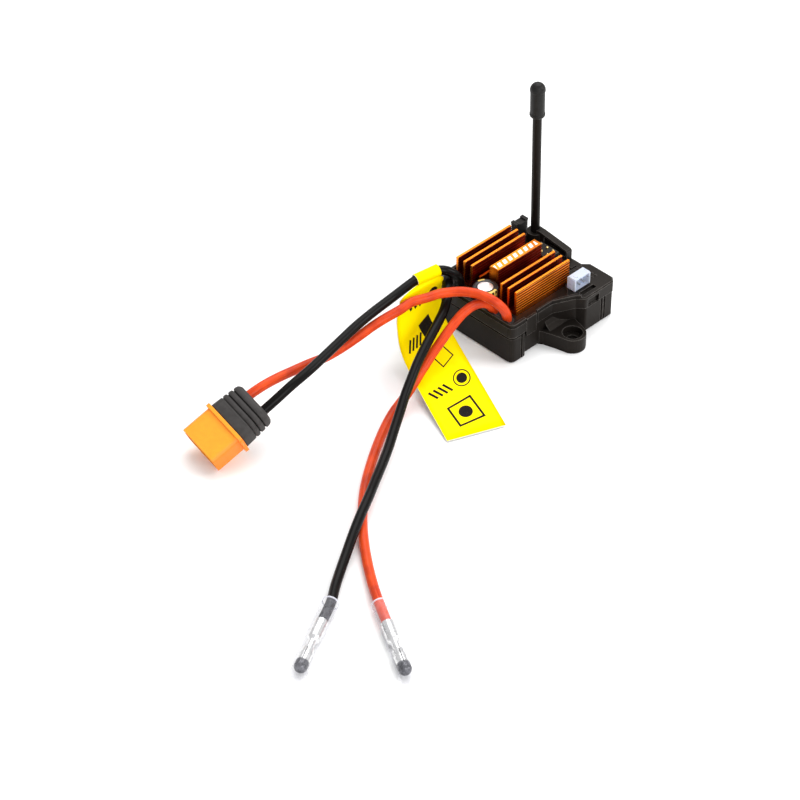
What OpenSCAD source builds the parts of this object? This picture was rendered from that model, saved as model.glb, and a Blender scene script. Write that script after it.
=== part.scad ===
// Brushed motor speed controller: a two-part plastic case with a finned heatsink,
// four silicone leads, a battery plug, two bullet terminals and a whip antenna.
// Front (the lead side) is -Y, up is +Z, and the case stands on Z = 0.

/* [Case] */
// Length of the case from front wall to rear wall
case_len = 41.3; // [41.3:0.1:42]
// Half of the width of the case's front block
case_half_w = 17.3; // [17.2:0.1:17.6]
// Height of the joint between the tub and the cover
joint_z = 9.5; // [9:0.1:10]
// Height of the recessed deck of the cover
deck_z = 13.2; // [13:0.1:13.4]
// Height of the cover's raised front rim
rim_z = 14.5; // [14.2:0.1:15]
// Height of the flat rear part of the cover
rear_z = 13.8; // [13.6:0.1:14]
// Wall thickness of the tub and cover
wall = 1.6; // [1.4:0.1:1.8]

/* [Mounting tabs] */
// Distance of each hole's centre from the middle plane
tab_x = 23.6; // [23:0.1:24]
// Radius of each tab's round end
tab_r = 4.3; // [4:0.1:4.5]
// Thickness of each tab
tab_h = 5; // [4.5:0.1:5.5]
// Radius of the through hole for an M3 screw
hole_r = 1.7; // [1.6:0.05:1.9]
// Radius of the counterbore for the screw head
head_r = 3.2; // [3:0.1:3.4]
// Thickness left under the counterbore
seat_h = 2.6; // [2.2:0.1:3]

/* [Heatsink] */
// Width of the heatsink over its outer fins
sink_w = 25.8; // [25.4:0.1:26]
// Length of the heatsink along its fins
sink_len = 23.5; // [23:0.1:24]
// Height of the fin tops
sink_top = 22; // [21:0.1:23]
// Thickness of one fin
fin_t = 0.95; // [0.8:0.05:1.1]
// Number of fine grooves on each side of a fin
grooves = 7; // [5:1:10]

/* [Antenna] */
// Outer radius of the antenna tube
tube_r = 1.45; // [1.3:0.05:1.5]
// Height of the top of the antenna cap
antenna_top = 73; // [60:1:90]
// Length of the antenna cap
cap_len = 12; // [10:0.5:14]
// Lean of the antenna from upright, in degrees
antenna_lean = 0.8; // [0:0.1:1]

/* [Leads] */
// Diameter of the four silicone leads
lead_d = 3; // [2.8:0.1:3]
// Outer radius of the clear end sleeves
sleeve_r = 2.6; // [2.5:0.05:2.7]
// Length of the clear end sleeves
sleeve_len = 36; // [34:0.5:37]

/* [Battery plug] */
// Width of the plug's orange housing
plug_w = 15.5; // [15:0.1:15.8]
// Thickness of the plug's orange housing
plug_t = 7.9; // [7.7:0.1:8.1]
// Distance from the plug's flange to its mating face
plug_len = 10.4; // [10:0.1:11]
// Length of the boot behind the flange
boot_len = 11; // [10.5:0.1:11.2]

/* [Tag] */
// Thickness of the tag's strip
tag_t = 0.3; // [0.2:0.05:0.5]

/* [Hidden] */

eps = 0.02;
front_y = -case_len / 2;
rear_y = case_len / 2;
back_y = rear_y - 1.95;
board_z = 5.6;
board_h = 1.2;
sink_y = -14.35;
sink_base = 14.3;
cap_x = -0.2;
cap_y = -14.4;
cap_r = 4;
cap_top = 17.5;
rib_top = 17.6;
seam = 0.3;
tube_x = -9.1;
tube_y = 17.2;
collar_top = 17.5;
collar_r = 2.7;
screw_z = 2.4;
pitch = 2.54;
pin_top = 18;
bind_y = 15.07;

// Latch ear that shows in the right rim
ear_y = -13.9;
ear_top = 14.1;

// Hole centres of the two tabs, set diagonally
right_tab = [tab_x, -0.2];
left_tab = [-tab_x, 10];

// Exits of the four leads on the deck
exit_y = -17.8;
exits = [[12.4, exit_y], [-8, exit_y], [6.7, exit_y], [-12.8, exit_y]];

// Routes of the leads, from inside the case to the far end
route_battery_red = [[12.4, -17.8, 11], [12.4, -17.8, 13.3], [12.5, -18.25, 15.7],
    [12.2, -19.1, 17.8], [11.3, -20.1, 19.6], [9.8, -21, 20.9], [7.7, -21.8, 21.6],
    [5.1, -22.7, 21.9], [2.6, -24, 21.9], [0.1, -25.7, 21.8], [-2.1, -28.1, 21.6], [-4, -31, 21.5],
    [-5.2, -34.4, 21.35], [-7.5, -39, 20.8], [-8, -43.4, 20], [-9.2, -48.2, 18.9],
    [-10.3, -52.7, 17.6], [-10.6, -58.8, 16.6], [-10.8, -65, 16], [-11.3, -71.4, 15.7],
    [-12.5, -77, 15.7], [-13.2, -82.5, 15.9], [-13.8, -88.5, 16.2], [-14.4, -94.2, 15.9],
    [-15.3, -98.9, 14.5], [-15.9, -102.3, 12.9]];
route_battery_black = [[-8, -17.8, 11], [-8, -17.8, 13.8], [-7.7, -18.06, 17.02],
    [-7.64, -19.12, 19.6], [-8.2, -20.59, 21.45], [-9.49, -22.49, 22.83], [-10.81, -24.74, 23.29],
    [-11.74, -28.19, 23.15], [-12.38, -32.46, 22.93], [-12.5, -38.4, 22.1], [-12.5, -43.4, 21.4],
    [-12.1, -50.8, 20.9], [-11.2, -58.4, 20.6], [-9.8, -66, 20.3], [-8.1, -74.5, 20],
    [-7, -82, 19.3], [-6.9, -89, 17.9], [-7.4, -94.9, 15.6], [-8.3, -99.6, 13.2], [-8.9, -103, 11.6]];
route_motor_red = [[6.7, -17.8, 11], [6.7, -17.8, 12.6], [6.6, -18.35, 15.1], [6.2, -19.9, 17.2],
    [5.4, -22.2, 18.35], [4.4, -25, 18.1], [3.7, -28.2, 16.75], [3.6, -31.4, 15.1], [4, -35.2, 13.4],
    [4.5, -39.1, 11.5], [5, -42.8, 9.7], [5.8, -46.1, 8.4], [6.6, -49.3, 7.3], [8.1, -54.5, 5.6],
    [9, -58.6, 4.2], [10.4, -64.6, 2.8], [13.2, -71, 1.9], [17.2, -78, 1.6], [22, -85.3, 1.5],
    [27, -92.1, 1.5], [32.4, -98.2, 1.5], [37.8, -103.7, 1.5], [44.7, -109.6, 1.5],
    [52.4, -115.4, 1.6], [59.6, -120.3, 2], [66, -124.2, 2.5], [74.6, -129, 2.6]];
route_motor_black = [[-12.8, -17.8, 11], [-12.8, -17.8, 13], [-12.4, -18.4, 15.8],
    [-11.1, -20.1, 17.9], [-9.2, -22.2, 18.6], [-6.9, -24.2, 18.4], [-4.4, -26.8, 17.5],
    [-2, -30.6, 16.2], [0, -35, 15.2], [2.4, -40.6, 14.2], [4.7, -46, 13.1], [7, -51, 12],
    [9.4, -55.8, 10.5], [11.9, -60.8, 8.7], [14.9, -66, 7], [18.4, -71.9, 5.5], [22.2, -78, 4.5],
    [26, -84.3, 4.3], [29.9, -90.9, 4.5], [33.9, -97.5, 4.8], [37.6, -104.2, 4.6],
    [41.1, -110.5, 3.7], [44.5, -116.3, 2.7], [48, -122, 2.2], [51.8, -127.7, 2.3],
    [56, -133.4, 2.6], [60.2, -141.3, 2.6]];

// Where each bullet terminal's axis starts, and its direction in the ground plane
red_end = [66, -124.2];
black_end = [56, -133.4];
red_turn = atan2(-17.9, 32.2);
black_turn = atan2(-31.6, 16.9);

// Frame of the battery plug: its place, then roll, pitch and turn
plug_at = [-13.6, -108.86, 9.32];
plug_turn = [-11.8, 25, -100.6];
flange_w = plug_w + 1.9;
flange_t = plug_t + 1.5;
contact_gap = 7.2;

// ---- helpers ----
function unit(v) = v / norm(v);
// Corner i of a closed outline [x, y, radius], rounded with n steps
function corner(p, i, n) = let (
    c = [p[i][0], p[i][1]], r = p[i][2], m = len(p),
    a = unit([p[(i + m - 1) % m][0], p[(i + m - 1) % m][1]] - c),
    b = unit([p[(i + 1) % m][0], p[(i + 1) % m][1]] - c),
    half = acos(max(-1, min(1, a * b))) / 2,
    mid = c + unit(a + b) * r / sin(half),
    s = mid + (c + a * r / tan(half) - mid),
    e = c + b * r / tan(half),
    a0 = atan2(s[1] - mid[1], s[0] - mid[0]),
    a1 = atan2(e[1] - mid[1], e[0] - mid[0]),
    d = (a1 - a0 + 540) % 360 - 180
) r == 0 ? [c] : [for (k = [0 : n]) mid + r * [cos(a0 + d * k / n), sin(a0 + d * k / n)]];
function rounded(p, n = 5) = [for (i = [0 : len(p) - 1]) each corner(p, i, n)];
// Outline moved inwards by d, for an outline that runs anticlockwise
function inset(p, d) = let (m = len(p)) [for (i = [0 : m - 1]) let (
    c = [p[i][0], p[i][1]],
    a = unit(c - [p[(i + m - 1) % m][0], p[(i + m - 1) % m][1]]),
    b = unit([p[(i + 1) % m][0], p[(i + 1) % m][1]] - c),
    na = [-a[1], a[0]], nb = [-b[1], b[0]],
    q = c + (na + nb) * d / (1 + na * nb)
) [q[0], q[1], max(0, p[i][2] - d)]];

// A closed solid through rings of equal size, with flat ends; each ring runs
// clockwise when seen from the end that the rings run towards. Each side between two
// rings is two triangles, cut along its other diagonal where the side is in crossed.
module skin(rings, crossed = []) {
    n = len(rings[0]);
    m = len(rings);
    function at(i, j) = i * n + j % n;
    function halves(a, b, c, d, other) = other ? [[a, c, b], [c, d, b]] : [[a, d, b], [a, c, d]];
    polyhedron(
        points = [for (r = rings) each r],
        faces = concat(
            [[for (j = [0 : n - 1]) j]],
            [for (i = [0 : m - 2], j = [0 : n - 1]) each halves(
                at(i, j), at(i, j + 1), at(i + 1, j), at(i + 1, j + 1), len(search(j, crossed)) > 0)],
            [[for (j = [n - 1 : -1 : 0]) at(m - 1, j)]]));
}

// Ring of n points round point c, square to the direction d
function ring(c, d, r, n) = let (
    u = unit(cross(d, [1, 0, 0.2])), v = cross(unit(d), u)
) [for (k = [0 : n - 1]) c + r * (u * cos(360 * k / n) - v * sin(360 * k / n))];
// A lead swept along its route with one ring at each point
module lead(route) {
    n = len(route);
    rings = [for (i = [0 : n - 1])
        ring(route[i], route[min(n - 1, i + 1)] - route[max(0, i - 1)], lead_d / 2, 8)];
    skin(rings);
}

// ---- outlines ----
// Outline of the tub, anticlockwise from the front left corner
tub_outline = [[-case_half_w, front_y, 2], [case_half_w, front_y, 2], [case_half_w, -14.8, 0.5],
    [16.1, -13.6, 0.5], [16.1, -1.2, 1], [19.6, 5.6, 1], [22, 7.4, 1], [22, 19.3, 0.6],
    [20.6, rear_y, 0.6], [11.5, rear_y, 0.6], [9.5, back_y, 0.6], [-case_half_w, back_y, 2]];
// The cover overhangs the recess behind the right tab
cover_outline = [[-case_half_w, front_y, 2], [case_half_w, front_y, 2], [case_half_w, -12.6, 0.5],
    [16.9, -9, 0.5], [16.9, -2.4, 1], [20.2, 4.6, 1], [22.4, 6.6, 1], [22.4, 19.1, 0.6],
    [20.8, rear_y, 0.6], [11.5, rear_y, 0.6], [9.5, back_y, 0.6], [-case_half_w, back_y, 2]];
// Recessed deck inside the front rim
deck_outline = [[-16, front_y + 1.4, 1], [16, front_y + 1.4, 1], [16, -3, 1], [17.6, 3.2, 1],
    [15.6, 5.6, 1], [9.5, 9.5, 0.5], [9.5, 16.6, 0.5], [-16, 16.6, 1]];

module slab(outline, z0, z1) {
    translate([0, 0, z0]) linear_extrude(z1 - z0) polygon(rounded(outline));
}

// ---- case ----
// Mounting tab: round end, waist and shoulders that run into the wall at wall_x
module tab_shape(reach, height) {
    linear_extrude(height) polygon(concat(
        [[-reach, 7.4], [-reach, -7.4], [-reach + 1.8, -6.2], [-2.2, -4.9]],
        [for (a = [-65 : 13 : 65]) tab_r * [cos(a), sin(a)]],
        [[-2.2, 4.9], [-reach + 1.8, 6.2]]));
}
module tab_gusset(reach) {
    translate([-reach, 0, tab_h - eps]) rotate([90, 0, 0]) linear_extrude(9, center = true)
        polygon([[0, 0], [2.4, 0], [0.9, 1.1], [0, 2.6]]);
}
module tab_holes(at) {
    translate([at[0], at[1], -1]) cylinder(h = tab_h + 2, r = hole_r, $fn = 48);
    translate([at[0], at[1], seat_h]) cylinder(h = tab_h, r = head_r, $fn = 64);
}
// Shallow upright grooves cut in the tub's wall
module wall_groove(x, y, turn) {
    translate([x, y, -1]) rotate(turn) translate([-0.4, -0.35, 0]) cube([0.8, 0.7, joint_z + 2]);
}
module case_tub() color("#232325") difference() {
    union() {
        slab(inset(tub_outline, 0.5), 0, 0.5 + eps);
        slab(tub_outline, 0.5, joint_z - seam);
        slab(inset(tub_outline, seam), joint_z - seam - eps, joint_z);
        slab(inset(tub_outline, 1.05), joint_z - eps, joint_z + 1.2);
        translate([right_tab[0], right_tab[1], 0]) tab_shape(8.2, tab_h);
        translate([right_tab[0], right_tab[1], 0]) tab_gusset(7.6);
        translate([left_tab[0], left_tab[1], 0]) mirror([1, 0, 0]) {
            tab_shape(7, tab_h);
            tab_gusset(6.4);
        }
        // Latch ears that stand up into the cover's windows
        translate([15.8, ear_y, joint_z - 2]) cube([1.3, 4.3, 4.9]);
        translate([16.3, ear_y, joint_z + 2]) cube([0.8, 4.3, ear_top - joint_z - 2]);
        translate([20.6, 8, joint_z - eps]) cube([0.85, 4.6, 2.6]);
        translate([-17.2, -9, joint_z - eps]) cube([0.85, 3.2, 2.6]);
    }
    difference() {
        slab(inset(tub_outline, wall), 1.6, joint_z + 2);
        // Rest for the circuit board, and solid root for each tab's bolt
        for (c = [[-13.4, -16.9], [13.4, -16.9], [-13.4, 15.2], [13.4, 15.2]])
            translate([c[0], c[1], 0]) cylinder(h = board_z, r = 1.5, $fn = 32);
    }
    tab_holes(right_tab);
    tab_holes(left_tab);
    wall_groove(case_half_w, -16.2, 0);
    wall_groove(22, 14.6, 0);
    wall_groove(22, 15.9, 0);
    wall_groove(-case_half_w, -16.2, 0);
    // Gap for the seal in the top of the wall
    slab_ring(inset(tub_outline, 0.55), 0.5, joint_z - 0.35, joint_z + 0.01);
}
module slab_ring(outline, width, z0, z1) {
    difference() {
        slab(outline, z0, z1);
        slab(inset(outline, width), z0 - 1, z1 + 1);
    }
}
module case_seal() color("#111111")
    slab_ring(inset(tub_outline, 0.6), 0.4, joint_z - 0.35, joint_z);

// Deck bumps: a small grid of dots that vents heat under the fan lead
module deck_bumps() {
    for (i = [0 : 4], j = [0 : 2])
        translate([10.6 + i * 1.5, 14.2 + j * 1.5, rear_z - eps])
            cylinder(h = 0.35, r1 = 0.5, r2 = 0.3, $fn = 8);
}
module on_antenna() {
    translate([tube_x, tube_y, deck_z]) rotate(antenna_lean, [1, -1, 0]) children();
}
module bridge() {
    translate([0, back_y, 0]) rotate([90, 0, 0]) difference() {
        linear_extrude(2.3)
            polygon([[-9, 11], [5.2, 11], [5.2, 16.7], [4.7, 17.2], [-6.5, 18.6], [-9, 18.6]]);
        translate([0, 0, 1]) linear_extrude(2)
            polygon([[-4.6, 14.8], [4.5, 14.8], [4.5, 16.6], [-4.6, 17.6]]);
    }
}
module top_cover() color("#262628") difference() {
    union() {
        slab(inset(cover_outline, seam), joint_z, joint_z + seam + eps);
        slab(cover_outline, joint_z + seam, rear_z - 0.35);
        slab(inset(cover_outline, 0.35), rear_z - 0.35 - eps, rear_z);
        // Raised rim round the front and sides
        difference() {
            slab(inset(cover_outline, 0.35), rear_z - eps, rim_z);
            translate([-40, 6, 0]) cube([80, 40, 40]);
            slab(inset(cover_outline, 1.3), 0, 40);
        }
        deck_bumps();
        bridge();
        on_antenna() translate([0, 0, -1.5]) cylinder(h = collar_top - deck_z + 1.5, r = collar_r, $fn = 48);
        // Low plinth of the capacitor
        translate([cap_x, cap_y, deck_z - 1]) cylinder(h = 1.5, r = cap_r + 0.9, $fn = 48);
    }
    // Recessed deck
    difference() {
        slab(deck_outline, deck_z, 30);
        translate([-16.5, 14.5, 0]) cube([25.5, 10, 40]);
        translate([cap_x, cap_y, 0]) cylinder(h = deck_z + 0.5, r = cap_r + 0.9, $fn = 48);
    }
    // Hollow underside
    slab(inset(cover_outline, wall + 0.9), joint_z - 1, deck_z - 1.4);
    // Room for the tub's lip
    slab(inset(tub_outline, 1), joint_z - 1, joint_z + 1.3);
    // Opening for the heatsink's base
    translate([-sink_w / 2 - 0.1, sink_y - 0.1, 0]) cube([sink_w + 0.2, sink_len + 0.2, 20]);
    translate([cap_x, cap_y, 0]) cylinder(h = 40, r = cap_r + 0.1, $fn = 64);
    // Lead exits
    for (e = exits) translate([e[0], e[1], 0]) cylinder(h = 40, r = 2.1, $fn = 32);
    // Antenna bore, header window and latch windows
    on_antenna() translate([0, 0, -6]) cylinder(h = 20, r = tube_r + 0.05, $fn = 48);
    on_antenna() translate([0, 0, screw_z]) rotate([0, 0, -45]) rotate([90, 0, 0])
        cylinder(h = 6, r = 0.85, $fn = 24);
    translate([-4.2, 9.3, 0]) cube([7.8, 5.3, 40]);
    translate([-14.2, 9.8, 0]) cube([5.3, 2.8, 40]);
    translate([-15.4, bind_y - pitch - 0.1, 0]) cube([2.8, 2 * pitch + 0.2, 40]);
    translate([15.7, ear_y - 0.3, joint_z - 1]) cube([4, 5.3, 9]);
    translate([20.3, 7.8, joint_z - 1]) cube([4, 5, 4]);
    translate([-18.2, -9.2, joint_z - 1]) cube([2, 3.6, 4.2]);
    translate([19.1, 7.2, rear_z - 0.9]) cube([1.6, 6.2, 3]);
    // Fan socket's window
    translate([14.6, 6.6, 0]) cube([3.2, 6.6, 40]);
}

// ---- heatsink ----
// Cross-section of one fin, with fine grooves down both sides and a bevelled top
function fin_side(s, t, z0, z1) = [for (k = [0 : grooves - 1]) let (
    step = (z1 - z0 - 0.9) / grooves, z = z0 + 0.5 + k * step
) each [[s * t / 2, z], [s * (t / 2 - 0.13), z + step * 0.25], [s * (t / 2 - 0.13), z + step * 0.5],
    [s * t / 2, z + step * 0.75]]];
function reversed(p) = [for (k = [len(p) - 1 : -1 : 0]) p[k]];
module fin(x, t, y0, y1) {
    translate([x, y1, 0]) rotate([90, 0, 0]) linear_extrude(y1 - y0) polygon(concat(
        [[-t / 2, sink_base - 0.5], [t / 2, sink_base - 0.5]],
        fin_side(1, t, sink_base, sink_top),
        [[t / 2, sink_top - 0.16], [t / 2 - 0.16, sink_top], [-t / 2 + 0.16, sink_top],
            [-t / 2, sink_top - 0.16]],
        reversed(fin_side(-1, t, sink_base, sink_top))));
}
module heatsink() color("#c8641a") difference() {
    union() {
        translate([-sink_w / 2, sink_y, 12.7]) cube([sink_w, sink_len, sink_base - 12.7]);
        translate([-sink_w / 2 + 1, sink_y + 1, 10.6]) cube([sink_w - 2, sink_len - 2, 2.2]);
        for (s = [-1, 1], x = [6.37, 9.37, 12.42]) fin(s * x, fin_t, sink_y, sink_y + sink_len);
        fin(-0.6, 3.4, -13, sink_y + sink_len);
        // Low rib between the block and the inner fin
        translate([-5.05, -12.4, sink_base - eps]) cube([0.7, sink_y + sink_len + 12.4, rib_top - sink_base]);
    }
    translate([cap_x, cap_y, 0]) cylinder(h = 40, r = cap_r + 0.35, $fn = 64);
    for (s = [-1, 1]) translate([s * 9, 5.5, 10]) cylinder(h = 4, r = 0.8, $fn = 24);
}
module heatsink_screws() color("#8a8d90") for (s = [-1, 1]) translate([s * 9, 5.5, 0]) {
    translate([0, 0, board_z - 1.1]) cylinder(h = 1.1, r = 1.6, $fn = 32);
    translate([0, 0, board_z - eps]) cylinder(h = 8, r = 0.8, $fn = 24);
}
module thermal_pad() color("#9fb4c6") difference() {
    translate([-11, -12.5, 10]) cube([22, 20, 0.6]);
    for (s = [-1, 1]) translate([s * 9, 5.5, 9]) cylinder(h = 3, r = 1.2, $fn = 24);
    translate([cap_x, cap_y, 9]) cylinder(h = 3, r = cap_r + 0.35, $fn = 48);
}

// ---- electronics ----
module circuit_board() color("#1f5a34") difference() {
    translate([-14.4, -18.7, board_z]) cube([28.8, 35.4, board_h]);
    for (s = [-1, 1]) translate([s * 9, 5.5, 0]) cylinder(h = 20, r = 1, $fn = 24);
}
module power_transistors() color("#1a1a1c")
    for (x = [-8.5, -3, 3, 8.5], y = [-5.5, 0.8]) translate([x - 2.4, y - 2.6, board_z + board_h])
        cube([4.8, 5.2, 10 - board_z - board_h]);
module control_chips() color("#17171a") {
    translate([-3.5, 6.2, board_z + board_h]) cube([7, 2.8, 1]);
    translate([-13.8, 1, board_z + board_h]) cube([2.4, 6, 1.2]);
    translate([11.2, -6, board_z + board_h]) cube([3, 3, 0.9]);
}
module supply_coil() color("#3a3a3d") translate([12.4, 8, board_z + board_h])
    cylinder(h = 2.6, r = 1.9, $fn = 32);
module solder_posts() color("#c0c2c4") for (e = exits)
    translate([e[0], e[1], board_z + board_h]) cylinder(h = 11 - board_z - board_h, r = 1.1, $fn = 24);
module capacitor_can() color("#d8dadc") {
    translate([cap_x, cap_y, board_z + board_h])
        cylinder(h = cap_top - 0.25 - board_z - board_h, r = cap_r - 0.3, $fn = 64);
    // Scored top disc
    translate([cap_x, cap_y, cap_top - 0.25 - eps]) difference() {
        cylinder(h = 0.15, r = 2.8, $fn = 64);
        for (a = [0, 90]) rotate(a + 20) translate([-2.2, -0.12, 0.07]) cube([4.4, 0.24, 1]);
    }
}
module capacitor_sleeve() color("#141416") translate([cap_x, cap_y, board_z + board_h + 0.6])
    rotate_extrude($fn = 64) polygon([[cap_r - 0.3, 0], [cap_r, 0],
        [cap_r, cap_top - 0.5 - board_z - board_h - 0.6],
        [cap_r - 0.5, cap_top - board_z - board_h - 0.6],
        [cap_r - 1.1, cap_top - board_z - board_h - 0.6],
        [cap_r - 1.1, cap_top - 0.25 - board_z - board_h - 0.6],
        [cap_r - 0.3, cap_top - 0.25 - board_z - board_h - 0.6]]);

// ---- sockets and pins ----
module fan_socket() color("#e9ecf2", 0.8) translate([14.6, 6.6, deck_z - 0.6]) difference() {
    union() {
        translate([0.2, 0, 0]) cube([3, 6.6, 5.6]);
        translate([0, -0.15, rear_z - deck_z + 0.6]) cube([3.3, 6.9, 4.1]);
    }
    translate([0.9, 0.4, 1.1]) cube([3, 5.8, 4]);
}
module fan_pins() color("#d9c27a") for (y = [-1, 1]) translate([14.8, 9.9 + y, deck_z + 1.9])
    union() {
        translate([0.6, -0.25, 0]) cube([2.2, 0.5, 0.5]);
        translate([0.1, -0.25, 0.5 - 3.4]) cube([0.5, 0.5, 3.4]);
    }
// Pin places: a three by two block behind the heatsink and a small block at the left
pin_places = concat(
    [for (i = [-1 : 1], j = [0 : 1]) [-0.3 + i * pitch, 10.66 + j * pitch]],
    [for (i = [0 : 1]) [-10.3 - i * pitch, 11.2]],
    [for (j = [0 : 1]) [-14, bind_y + (j - 0.5) * pitch]]);
module header_base() color("#19191b") difference() {
    union() {
        translate([-0.3 - 1.5 * pitch, 10.66 - pitch / 2, 11.6]) cube([3 * pitch, 2 * pitch, 5.6]);
        translate([-10.3 - 1.5 * pitch, 11.2 - pitch / 2, 11.6]) cube([2 * pitch, pitch, 5.6]);
        translate([-14 - 0.5 * pitch, bind_y - pitch, 11.6]) cube([pitch, 2 * pitch, 3.3]);
    }
    for (p = pin_places) translate([p[0] - 0.3, p[1] - 0.3, 10]) cube([0.6, 0.6, 10]);
}
module header_pins() color("#d9c27a") for (p = pin_places) translate([p[0] - 0.3, p[1] - 0.3, 0]) {
    translate([0, 0, board_z + board_h]) cube([0.6, 0.6, pin_top - 0.3 - board_z - board_h]);
    translate([0.12, 0.12, pin_top - 0.3 - eps]) cube([0.36, 0.36, 0.3]);
}
// Removable bind jumper with finger ridges and a notched top
module bind_plug() color("#1b1b1d") translate([-14, bind_y, 15.2]) difference() {
    union() {
        translate([-1.25, -2.25, 0]) cube([2.5, 4.5, 4.3]);
        for (k = [0 : 4]) translate([-1.25, -2.55, 0.4 + k * 0.78]) cube([2.5, 5.1, 0.38]);
        // Grip ears at both ends of the top
        for (s = [-1, 1]) translate([-1.25, s * 2.05 - 0.6, 4.2]) cube([2.5, 1.2, 0.7]);
    }
    for (s = [-1, 1]) translate([-0.75, s * pitch / 2 - 0.75, -1]) cube([1.5, 1.5, 4.4]);
    translate([-0.35, -pitch / 2, -1]) cube([0.7, pitch, 4.4]);
}
module bind_plug_clip() color("#d9c27a") translate([-14, bind_y, 15.2]) difference() {
    for (s = [-1, 1]) translate([-0.75, s * pitch / 2 - 0.75, 0.5]) cube([1.5, 1.5, 2.7]);
    for (s = [-1, 1]) translate([-0.36, s * pitch / 2 - 0.36, 0]) cube([0.72, 0.72, 4]);
}

// ---- antenna ----
module antenna_tube() color("#161618") on_antenna() translate([0, 0, 1.2]) difference() {
    cylinder(h = antenna_top - deck_z - 3.4, r = tube_r, $fn = 48);
    translate([0, 0, -1]) cylinder(h = antenna_top - deck_z, r = 0.95, $fn = 32);
}
module antenna_cap() color("#131315") on_antenna() translate([0, 0, antenna_top - deck_z]) difference() {
    rotate_extrude($fn = 48) polygon(concat(
        [[0, -cap_len], [2.2, -cap_len], [2.45, -cap_len + 0.4], [2.45, -cap_len + 1.1],
            [2.3, -cap_len + 1.3], [2.3, -3], [2.45, -2.8]],
        [for (a = [0 : 15 : 90]) [2.45 * cos(a), -2.45 + 2.45 * sin(a)]]));
    translate([0, 0, -cap_len - 1]) cylinder(h = cap_len - 1.2, r = tube_r + 0.05, $fn = 48);
}
module antenna_wire() color("#c9c4b8") {
    on_antenna() translate([0, 0, -2.3]) cylinder(h = antenna_top - deck_z - 5.7, r = 0.55, $fn = 24);
    translate([tube_x - 0.55, 12.6, board_z + board_h]) cube([1.1, 4.3, 1.1]);
    translate([tube_x - 0.55, 15.8, board_z + board_h]) cube([1.1, 1.1, 4.7]);
    translate([tube_x - 0.55, 15.8, 10.8]) cube([1.1, 1.2, 0.7]);
}
module collar_screw() color("#0f0f10") on_antenna() translate([0, 0, screw_z]) rotate([0, 0, -45])
    rotate([90, 0, 0]) difference() {
        translate([0, 0, tube_r + 0.05]) cylinder(h = 1.4, r = 0.85, $fn = 24);
        translate([0, 0, tube_r + 0.9]) cylinder(h = 1, r = 0.45, $fn = 6);
    }

// ---- leads ----
module lead_grommets() color("#101011") for (e = exits) translate([e[0], e[1], deck_z - 1.4])
    rotate_extrude($fn = 32) polygon([[lead_d / 2, 0], [2.1, 0], [2.1, 1.5],
        [lead_d / 2 + 0.25, 1.75], [lead_d / 2, 1.75]]);
module battery_lead_red() color("#e2421f") lead(route_battery_red);
module battery_lead_black() color("#151517") lead(route_battery_black);
module motor_lead_red() color("#e2421f") lead(route_motor_red);
module motor_lead_black() color("#151517") lead(route_motor_black);

// ---- battery plug ----
module on_plug() {
    translate(plug_at) rotate(plug_turn) children();
}
// Rounded rectangle across the plug's axis, w wide and t thick, from x0 to x1
module plug_bar(w, t, r, x0, x1) {
    translate([x0, 0, 0]) rotate([90, 0, 90]) linear_extrude(x1 - x0)
        polygon(rounded([[-w / 2, -t / 2, r], [w / 2, -t / 2, r], [w / 2, t / 2, r], [-w / 2, t / 2, r]], 5));
}
module plug_housing() color("#f58a1c") on_plug() difference() {
    union() {
        plug_bar(plug_w, plug_t, 2, 0.5, plug_len);
        plug_bar(flange_w, flange_t, 2.2, -0.5, 0.6);
        plug_bar(plug_w - 1.6, plug_t - 1.4, 1.6, -6, -0.4);
    }
    plug_bar(plug_w - 1.8, plug_t - 1.8, 1.4, 4.6, plug_len + 1);
    for (s = [-1, 1]) translate([-7, s * contact_gap / 2, 0]) rotate([0, 90, 0])
        cylinder(h = 12, r = 2, $fn = 32);
}
module plug_boot() color("#3c3c3f") on_plug() difference() {
    union() {
        plug_bar(plug_w + 0.9, plug_t + 0.9, 3.6, -4.4, -0.5);
        for (k = [0 : 2]) {
            plug_bar(plug_w - 0.1 - k * 0.4, plug_t + 0.2 - k * 0.2, 3.2, -4.9 - k * 1.7, -4.3 - k * 1.7);
            plug_bar(plug_w + 0.5 - k * 0.4, plug_t + 0.7 - k * 0.2, 3.4, -6.1 - k * 1.7, -4.8 - k * 1.7);
        }
        plug_bar(plug_w - 1, plug_t - 0.2, 3, -boot_len, -9.4);
    }
    plug_bar(plug_w - 1.5, plug_t - 1.3, 1.6, -6, 0);
    for (s = [-1, 1]) translate([-boot_len - 1, s * contact_gap / 2, 0]) rotate([0, 90, 0])
        cylinder(h = 8, r = lead_d / 2 + 0.05, $fn = 32);
}
module plug_contacts() color("#d8b04a") on_plug() for (s = [-1, 1])
    translate([-5.5, s * contact_gap / 2, 0]) rotate([0, 90, 0]) difference() {
        union() {
            cylinder(h = 10.6, r = 1.95, $fn = 32);
            translate([0, 0, 10.6 - eps]) cylinder(h = 4, r = 1.75, $fn = 32);
        }
        translate([0, 0, 8]) cylinder(h = 8, r = 1.1, $fn = 32);
        translate([0, 0, -1]) cylinder(h = 4, r = 1.5, $fn = 32);
    }

// ---- motor lead ends ----
module on_end(at, turn) {
    translate([at[0], at[1], sleeve_r]) rotate([0, 90, turn]) children();
}
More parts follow.
